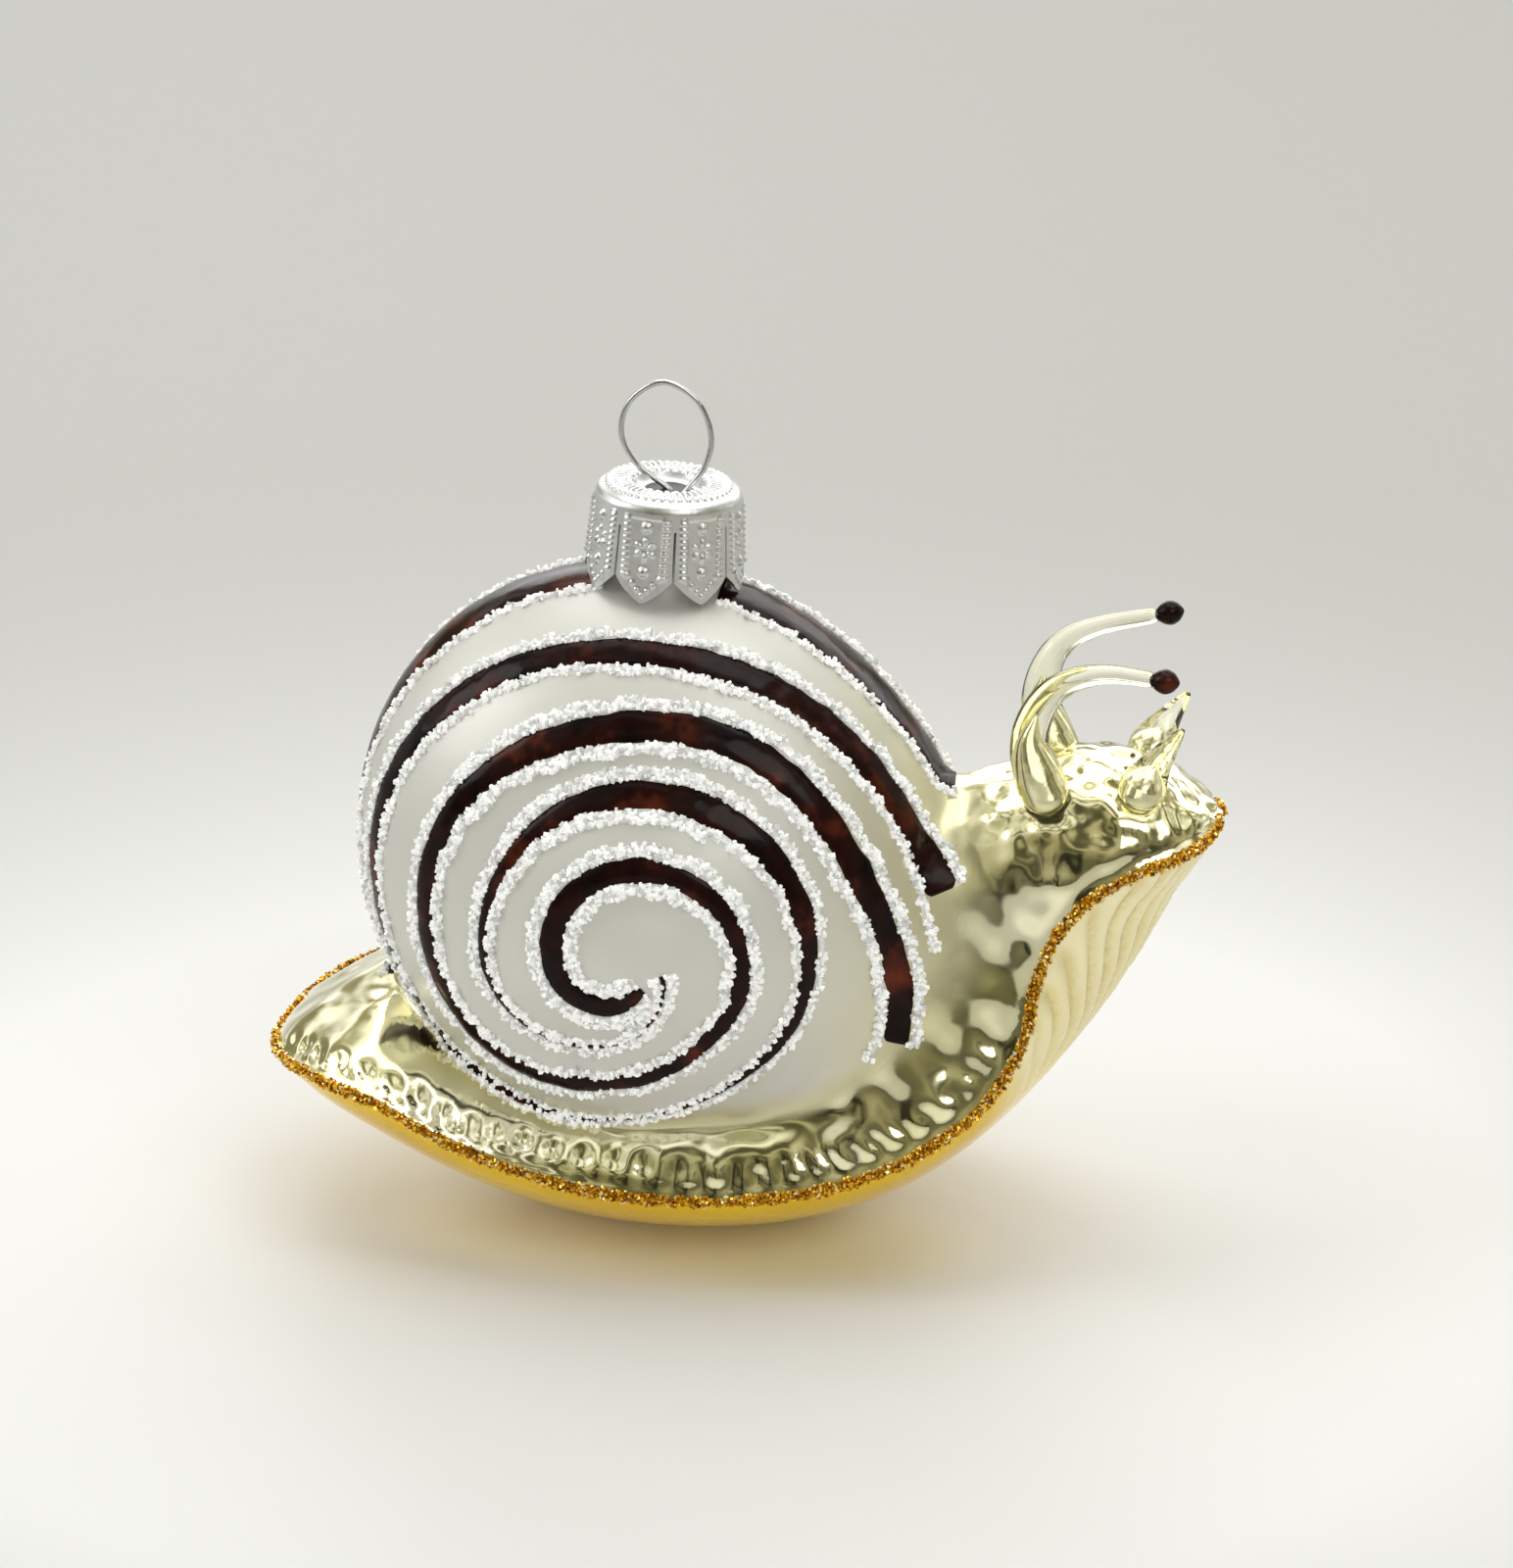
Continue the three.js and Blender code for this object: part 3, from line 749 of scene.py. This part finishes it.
def whiteGlitter():
    f = Finish("white glitter")
    tone = f.attribute("tone")
    base = f.ramp(tone, [(0.0, colour(0.50, 0.51, 0.51)), (0.3, colour(0.88, 0.89, 0.89)),
                         (1.0, colour(0.99, 0.99, 0.98))])
    # painted light: the grains and their bed glow faintly in their own colour
    return f.surface(Base_Color=base, Roughness=f.noise(3000.0, 1.0) * 0.3 + 0.2,
                     Metallic=tone.between(0.86, 0.9) * 0.8, Specular_IOR_Level=0.8,
                     Emission_Color=base, Emission_Strength=0.1)


def copperGlitter():
    f = Finish("copper glitter")
    tone = f.attribute("tone")
    base = f.ramp(tone, [(0.0, colour(0.28, 0.10, 0.006)), (0.35, colour(0.72, 0.36, 0.015)),
                         (0.75, colour(0.92, 0.58, 0.05)), (1.0, colour(1.0, 0.90, 0.55))])
    return f.surface(Base_Color=base, Roughness=f.noise(3000.0, 1.0) * 0.3 + 0.12, Metallic=0.9)


whiteMaterial, copperMaterial = whiteGlitter(), copperGlitter()


def glitterStrip(path, offset, halfWidth, lift):
    # an uneven bed of lacquer that the grains sit on: a closed low ridge, and the open strip over it
    grid, u = ribbon(path, offset, halfWidth, 7)
    flat = grid.reshape(-1, 3)
    rough = 0.35 * waves(flat, 1.3, 35, 2).reshape(len(path), -1)
    ridge = lift * (1 - u ** 2) * (1 + rough) - 0.03
    top = onGlass(flat, ridge.ravel()).reshape(len(path), -1, 3)
    bottom = onGlass(flat, -0.12).reshape(len(path), -1, 3)
    bed = tubeMesh(np.concatenate([top, bottom[:, ::-1]], 1))
    return bed, (top.reshape(-1, 3), gridFaces(len(path), 7))


def joined(meshes):
    points, faces, start = [], [], 0
    for p, f in meshes:
        points.append(p)
        faces += [[i + start for i in face] for face in f]
        start += len(p)
    return np.concatenate(points), faces


def glitterPiece(name, strips, material, look, seed):
    beds, tops = zip(*strips)
    grainPiece = scattered(name, *joined(tops), material, look, seed)
    # the bed takes the darker painted-shade tone
    tone = np.full(sum(len(b[0]) for b in beds), bedShadeTone)
    bedPiece = makePiece(name + "_bed", *joined(beds), material, floats={"tone": tone})
    joinMeshes(grainPiece, bedPiece)
    return finishPiece(grainPiece, "painted_glass")


def joinMeshes(keep, extra):
    with bpy.context.temp_override(active_object=keep, object=keep, selected_objects=[keep, extra],
                                   selected_editable_objects=[keep, extra]):
        bpy.ops.object.join()


def glitterLines(band, side):
    g = glitterLook
    strips = []
    for edge in (-1, 1):
        inward = edge == -side
        path, width, turn = bandRoute(band, side, band["tail"] if inward else 0.0)
        half = g["halfWidth"] * along(band["glitter"], turn) * (1 + 0.2 * waves(path, 4, 40 + edge, 2))
        strips.append(glitterStrip(path, edge * (width + half * g["coverShare"]), half, g["bed"]))
    glitterPiece(sideName(band, side) + "_glitter", strips, whiteMaterial, g, 50 + side)


for band in bands:
    for side in bandSides(band):
        glitterLines(band, side)


rimLook = dict(density=17.0, size=0.36, pile=0.3, halfWidth=0.5, bed=0.22)


def rimGlitter():
    g = rimLook
    strips = []
    for side in (0.0, math.pi):
        path, _ = evenly(footPoint(np.linspace(0.004, 0.985, 900), np.full(900, side)), 0.3)
        half = g["halfWidth"] * (1 + 0.2 * waves(path, 5, 61, 2))
        strips.append(glitterStrip(path, np.zeros(len(path)), half, g["bed"]))
    glitterPiece("rim_glitter", strips, copperMaterial, g, 71)


rimGlitter()
print("glitter scattered")


# wire loop, feelers and their tips
wirePath = [(-2.6, -0.4, 70.5), (-2.2, -0.4, 73.5), (-1, -0.4, 76.4), (0.5, -0.38, 78.4),
            (2.4, -0.2, 81), (3, 0, 84), (1.6, 0.1, 87.6), (-1.9, 0.1, 89.4), (-5.2, 0.1, 87.3),
            (-6.1, 0, 84), (-4.7, 0.2, 80.9),
            (-1.6, 0.38, 78.4), (0.1, 0.4, 76.4), (1.4, 0.4, 73.5), (1.8, 0.4, 70.5)]


def barMesh(points, radii, rows, around):
    t = np.linspace(0, 1, rows)
    path = spline(points, t)
    radius = spline([(r,) for r in radii], t)[:, 0] if len(radii) > 1 else np.full(rows, radii[0])
    ends = np.minimum(t, 1 - t) * np.linalg.norm(np.diff(path, axis=0), axis=1).sum()
    closing = np.minimum(ends / np.maximum(radius, 1e-6), 1)
    radius = radius * np.sqrt(np.maximum(1 - (1 - closing) ** 2, 0.0004))  # the ends are rounded
    tangent = np.gradient(path, axis=0)
    tangent /= np.linalg.norm(tangent, axis=1, keepdims=True)
    frameX = np.empty_like(path)
    guess = np.cross(tangent[0], [0.1, 1, 0.2])
    frameX[0] = guess / np.linalg.norm(guess)
    for i in range(1, rows):
        turned = frameX[i - 1] - tangent[i] * (frameX[i - 1] @ tangent[i])
        frameX[i] = turned / np.linalg.norm(turned)
    frameY = np.cross(tangent, frameX)
    angle = np.linspace(0, 2 * math.pi, around, endpoint=False)
    rings = path[:, None] + radius[:, None, None] * (
        frameX[:, None] * np.cos(angle)[None, :, None] + frameY[:, None] * np.sin(angle)[None, :, None])
    return tubeMesh(rings)


def metalFinish(name, base, rough, grain):
    f = Finish(name)
    worn = f.noise(500.0, 3.0)
    tint = f.mix(worn.between(0.3, 0.7), colour(*[c * 0.9 for c in base]), colour(*base))
    return f.surface(Base_Color=tint, Roughness=worn * 0.15 + rough, Metallic=1.0,
                     Normal=f.bump(f.noise(grain, 2.0), 0.0002, 0.15))


wireFinish = metalFinish("drawn wire", (0.62, 0.62, 0.63), 0.14, 2500.0)
wire = makePiece("hanging_wire", *barMesh(wirePath, [0.3], 420, 16), wireFinish)
finishPiece(wire, "spring_wire", "wire_loop")


def clearGlass():
    f = Finish("clear glass")
    tint = f.mix(f.noise(120.0).between(0.3, 0.7), colour(0.97, 0.95, 0.76), colour(1.0, 0.985, 0.86))
    return f.surface(Base_Color=tint, Roughness=f.noise(400.0) * 0.04 + 0.02, Metallic=0.0,
                     Transmission_Weight=1.0, IOR=1.5, Normal=f.bump(f.noise(300.0), 0.0003, 0.1))


clearMaterial = clearGlass()
feelers = {
    "long_feeler_right": [(38.6, -6.2, 48.5, 2.6), (37, -6.5, 52.4, 2.5), (36.1, -6.7, 56, 2),
                          (36.8, -6.9, 59.2, 1.7), (38.5, -7.2, 61.8, 1.4), (40.9, -7.6, 63.3, 1.2),
                          (44, -7.9, 64, 0.95), (48.9, -8.65, 63.85, 0.75)],
    "long_feeler_left": [(38.6, 5.6, 48.5, 2.6), (36.9, 5.6, 52.4, 2.5), (35.9, 5.7, 56, 2),
                         (36.2, 6, 58.8, 1.7), (37.2, 6.3, 61.1, 1.4), (39, 6.7, 62.7, 1.2),
                         (42, 7.2, 63.9, 0.95), (48.0, 8.15, 65.05, 0.75)],
    "short_feeler_right": [(46.6, -6.1, 49.4, 2.1), (47.4, -5.9, 51.6, 2.4), (48.5, -5.6, 53.7, 1.7),
                           (51.2, -5, 57.7, 0.3)],
    "short_feeler_left": [(46.6, 5.7, 49.4, 2.1), (47.3, 5.6, 51.6, 2.4), (48.3, 5.5, 53.8, 1.7),
                          (51, 5, 58, 0.3)]}
liningShares = dict(long=(0.84, 0.74, 0.45, 0.05), short=(0.84, 0.7, 0.1))
mirrorFinish = metalFinish("silvering", (0.88, 0.85, 0.60), 0.08, 900.0)
for name, points in feelers.items():
    middle, radii = [p[:3] for p in points], [p[3] for p in points]
    glassBar = makePiece(name + "_glass", *barMesh(middle, radii, 120, 40), clearMaterial)
    finishPiece(glassBar, "clear_glass", name)
    # the silvering inside the swollen base
    shares = liningShares[name.split("_")[0]]
    core = middle[:len(shares)]
    inner = [radius * share for radius, share in zip(radii, shares)]
    lining = makePiece(name + "_silvering", *barMesh(core, inner, 60, 32), mirrorFinish)
    finishPiece(lining, "clear_glass")


beadShape = dict(places=(-1.0, -0.2, 0.6, 1.4, 2.05), radii=(0.5, 1.05, 1.25, 1.0, 0.35))


def tipPiece(name, points):
    before, end = np.array(points[-2][:3]), np.array(points[-1][:3])
    way = (end - before) / np.linalg.norm(end - before)
    rows = [end + way * place for place in beadShape["places"]]
    mesh = barMesh([tuple(p) for p in rows], beadShape["radii"], 40, 28)
    return finishPiece(makePiece(name + "_bead", *mesh, bandMaterial), "black_enamel", name)


tipPiece("long_feeler_tip_right", feelers["long_feeler_right"])
tipPiece("long_feeler_tip_left", feelers["long_feeler_left"])
print("feelers drawn")


# cap
capShape = dict(petals=8, firstGap=15.6, halfWidth=3.0, tip=2.4, slitTop=7.7, sheet=0.3, columns=46, rows=112,
                ribs=52, rimBeads=46, holeBeads=28, barPitch=0.62)
capProfile = [(2.5, 9.55), (2.9, 9.6), (3.3, 9.95), (3.6, 10.35), (3.95, 10.42), (5.0, 10.42), (5.9, 10.4),
              (6.35, 10.3), (6.65, 10.12), (7.1, 9.82), (7.36, 9.35), (7.42, 8.9), (7.5, 8), (7.65, 6),
              (7.85, 3.4), (8.0, 1.5), (8.1, 0)]
stamp = dict(panelSide=(1.5, 1.62), panelTop=(8.5, 8.62), panelDepth=0.14, barsIn=(1.66, 1.82),
             barsOut=(2.3, 2.44), barsFoot=(2.5, 2.7), barsTop=(8.7, 8.9), barHeight=0.26,
             dots=((7.75, 0.55), (3.2, 0.52)), dotHeight=0.38, flower=5.5, petalOut=0.78, petalSize=0.24)


def bead(du, dv, size, height):
    return height * np.sqrt(np.maximum(1 - (du ** 2 + dv ** 2) / size ** 2, 0))


def discRelief(radius, angle):
    c = capShape
    turn = angle / (2 * math.pi)
    ring = smoothstep(4.2, 4.45, radius) * (1 - smoothstep(5.5, 5.75, radius))
    relief = 0.34 * ring * np.abs(np.cos(turn * c["ribs"] * math.pi))
    for at, count, size in ((6.05, c["rimBeads"], 0.36), (3.95, c["holeBeads"], 0.34)):
        around = ((turn * count) % 1 - 0.5) / count * 2 * math.pi * radius
        relief += bead(around, radius - at, size, 0.24)
    return relief


def petalRelief(u, z):
    c, t = capShape, stamp
    out = np.abs(u)
    panel = (1 - smoothstep(*t["panelSide"], out)) * (1 - smoothstep(*t["panelTop"], z))
    column = smoothstep(*t["barsIn"], out) * (1 - smoothstep(*t["barsOut"], out))
    column *= smoothstep(*t["barsFoot"], z) * (1 - smoothstep(*t["barsTop"], z))
    bars = np.abs(np.sin(z / c["barPitch"] * math.pi)) ** 0.8
    relief = t["barHeight"] * column * bars - t["panelDepth"] * panel
    relief += sum(bead(u, z - place, size, t["dotHeight"]) for place, size in t["dots"])
    rise = z - t["flower"]
    for turn in np.arange(6) / 6 + 1 / 12:  # six petals of a small flower
        a = turn * 2 * math.pi
        along, across = u * math.cos(a) + rise * math.sin(a), rise * math.cos(a) - u * math.sin(a)
        relief += bead((along - t["petalOut"]) * 0.5, across, t["petalSize"], 0.26)
    for step in np.arange(-3, 4):  # beads along the pointed end
        ownSide = np.sign(u) == (np.sign(step) or np.sign(u))
        relief += bead(out - abs(step) * 0.55, z - 0.85 - 0.5 * abs(step) ** 1.15, 0.27, 0.2) * ownSide
    return relief


def capMesh():
    c = capShape
    profile, _ = evenly(np.array([(r, 0, z) for r, z in spline(capProfile, np.linspace(0, 1, 600))]), 0.01)
    profile = profile[np.linspace(0, len(profile) - 1, c["rows"]).astype(int)][:, [0, 2]]
    radius, height = profile[:, :1], profile[:, 1:]
    slope = np.gradient(profile, axis=0)
    slope /= np.linalg.norm(slope, axis=1, keepdims=True)
    normal = np.stack([-slope[:, 1], slope[:, 0]], -1)
    petal = np.repeat(np.arange(c["petals"]), c["columns"])[None]
    share = np.tile(np.linspace(-1, 1, c["columns"]), c["petals"])[None]
    width = c["halfWidth"] * np.minimum(1, np.maximum(height, 0.0) / c["tip"]) ** 0.75 + 0.02
    width = np.minimum(width, radius * math.pi / c["petals"] * 0.965)
    u = width * share
    middle = math.radians(c["firstGap"] + 180 / c["petals"]) + petal * 2 * math.pi / c["petals"]
    angle = middle + u / radius
    skirt = np.arange(c["rows"])[:, None] > int(np.argmax(radius[:, 0] > 6.7))
    relief = np.where(skirt, petalRelief(u, height + 0 * u), discRelief(radius, angle))
    sides = []
    for lift in (relief, np.full_like(relief, -c["sheet"])):
        r, z = radius + normal[:, :1] * lift, height + normal[:, 1:] * lift
        sides.append(np.stack([r * np.sin(angle), -r * np.cos(angle), z], -1).reshape(-1, 3))
    rows, around = c["rows"], c["columns"] * c["petals"]
    last = int(np.argmax((height[:, 0] < c["slitTop"]) & (radius[:, 0] > 6.7)))
    faces = []
    size = rows * around

    def wall(a, b):
        faces.append((a, b, b + size, a + size))

    for row in range(rows - 1):
        for column in range(around):
            following = (column + 1) % around
            gap = following % c["columns"] == 0
            a, b = row * around + column, row * around + following
            if gap and row >= last:
                wall(b, b + around)
                wall(a + around, a)
                if row == last:
                    wall(a, b)
                continue
            faces.append((a, b, b + around, a + around))
            faces.append((a + size, a + around + size, b + around + size, b + size))
            if row == 0:
                wall(b, a)
            if row == rows - 2:
                wall(a + around, b + around)
    points = leaned(np.concatenate(sides))
    return points, outward(points, np.array(faces))


def capPiece():
    points, faces = capMesh()
    gap, way, _ = glassSurface.find(points)
    buried = np.maximum(0.12 - gap, 0) * (points[:, 2] < pikeShape["z"] + 2)
    return makePiece("stamped_cap", points + way * buried[:, None], faces,
                     metalFinish("stamped cap", (0.78, 0.785, 0.79), 0.28, 1600.0))


finishPiece(capPiece(), "cap_metal", "cap")
print("cap stamped")

# stage
stageLook = dict(radius=3.0, pool=0.088, edge=0.3, near=(0.68, 0.68, 0.675), far=(0.40, 0.40, 0.385),
                 glow=(0.93, 0.93, 0.78), glowPlace=(2, -8), glowSize=(34, 15), glowShare=0.8)


def floor():
    s = stageLook
    angle = np.linspace(0, 2 * math.pi, 96, endpoint=False)
    points = np.stack([s["radius"] * np.cos(angle), s["radius"] * np.sin(angle), np.zeros(96)], -1) / mm
    f = Finish("pale paper")
    # painted light: the paper is coloured lighter in a pool round the snail and darker grey farther off,
    # where less light falls
    reach = f.field("ShaderNodeVectorMath", {"operation": "LENGTH"}, [f.place()], "Value")
    fade = (reach - s["pool"]) / (s["edge"] - s["pool"])
    fade = (1.0 - fade).clamped()
    fade = 1.0 - fade * fade * fade
    base = f.mix(fade, colour(*s["near"]), colour(*s["far"]))
    spot = f.node("ShaderNodeSeparateXYZ", {}, [f.place()])
    gap = 0.0
    for socket, place, size in zip(spot.outputs, s["glowPlace"], s["glowSize"]):
        aside = Field(f, socket) * (1000.0 / size) - place / size
        gap = aside * aside + gap
    glow = (1.0 - gap).clamped() * s["glowShare"]  # painted light: yellow light thrown down by the golden belly, painted into the paper's colour
    base = f.mix(glow, base, colour(*s["glow"]))
    f.surface(Base_Color=base, Roughness=f.noise(900.0, 2.0) * 0.1 + 0.5, Specular_IOR_Level=0.2,
              Normal=f.bump(f.noise(1500.0, 2.0), 0.0001, 0.1))
    paper = makePiece("table", points, [tuple(range(96))], f.material)


floor()


def areaLight(name, place, aimHeight, size, power, mirrored):
    light = bpy.data.lights.new(name, "AREA")
    light.shape, light.size, light.size_y = "RECTANGLE", size[0], size[1]
    light.energy = power
    lamp = bpy.data.objects.new(name, light)
    bpy.context.scene.collection.objects.link(lamp)
    lamp.location = place
    lamp.visible_glossy = mirrored
    lamp.rotation_euler = (Vector((0, 0, aimHeight)) - Vector(place)).to_track_quat("-Z", "Y").to_euler()


lights = [  # name, place, height of its aim, size, power, mirrored
    ("overhead", (0.05, 0.15, 0.95), 0.03, (1.1, 0.6), 3.5, True),
    ("left window", (-0.8, -0.2, 0.5), 0.04, (0.4, 0.5), 1.8, True),
    ("right window", (0.6, -0.75, 0.75), 0.04, (0.6, 0.4), 2.0, True),
    ("front fill", (0.15, -1.0, 0.3), 0.02, (1.4, 0.5), 3.6, False),
    ("back wall", (0.1, 1.1, 0.55), 0.04, (1.6, 0.5), 4.5, True)]
for row in lights:
    areaLight(*row)


def studio():
    world = bpy.data.worlds.new("studio")
    bpy.context.scene.world = world
    w = NodeTree(world, "ShaderNodeOutputWorld")
    way = w.node("ShaderNodeSeparateXYZ", {}, [w.field("ShaderNodeTexCoord", output="Generated")])
    across, depth, up = (Field(w, socket) for socket in way.outputs)
    glow = up.between(0.0, 0.9, 0.16, 0.85) + (across * -1.0).between(0.2, 1.0, 0.0, 0.2)
    glow = glow * (depth * -1.0).between(0.1, 0.75, 1.0, 0.42) + depth.between(-0.1, 0.8, 0.0, 0.6)
    mottle = w.field("ShaderNodeTexNoise", {}, {"Vector": w.field("ShaderNodeTexCoord", output="Generated"),
                                                "Scale": 2.6, "Detail": 2.0, "Distortion": 0.6}, "Fac")
    glow = glow * mottle.between(0.38, 0.62, 0.24, 1.8)
    tint = w.mix(glow.between(0.25, 0.8), colour(1.0, 0.93, 0.56), colour(1.0, 1.0, 0.985))
    shader = w.node("ShaderNodeBackground", {}, {"Color": tint, "Strength": glow})
    w.tree.links.new(shader.outputs[0], w.output.inputs[0])


studio()

# camera
view = dict(azimuth=9, elevation=21, distance=500, target=(7.553, 0, 47.288), scale=10, width=1544, sensor=36)
a, e = math.radians(view["azimuth"]), math.radians(view["elevation"])
back = Vector((math.sin(a) * math.cos(e), -math.cos(a) * math.cos(e), math.sin(e)))
cameraData = bpy.data.cameras.new("camera")
cameraData.sensor_fit, cameraData.sensor_width = "HORIZONTAL", view["sensor"]
cameraData.lens = view["sensor"] * view["distance"] * view["scale"] / view["width"]
camera = bpy.data.objects.new("camera", cameraData)
bpy.context.scene.collection.objects.link(camera)
camera.location = (Vector(view["target"]) + back * view["distance"]) * mm
camera.rotation_euler = (-back).to_track_quat("-Z", "Y").to_euler()
bpy.context.scene.camera = camera
bpy.context.scene.view_settings.view_transform = "Standard"
print("stage and camera set")
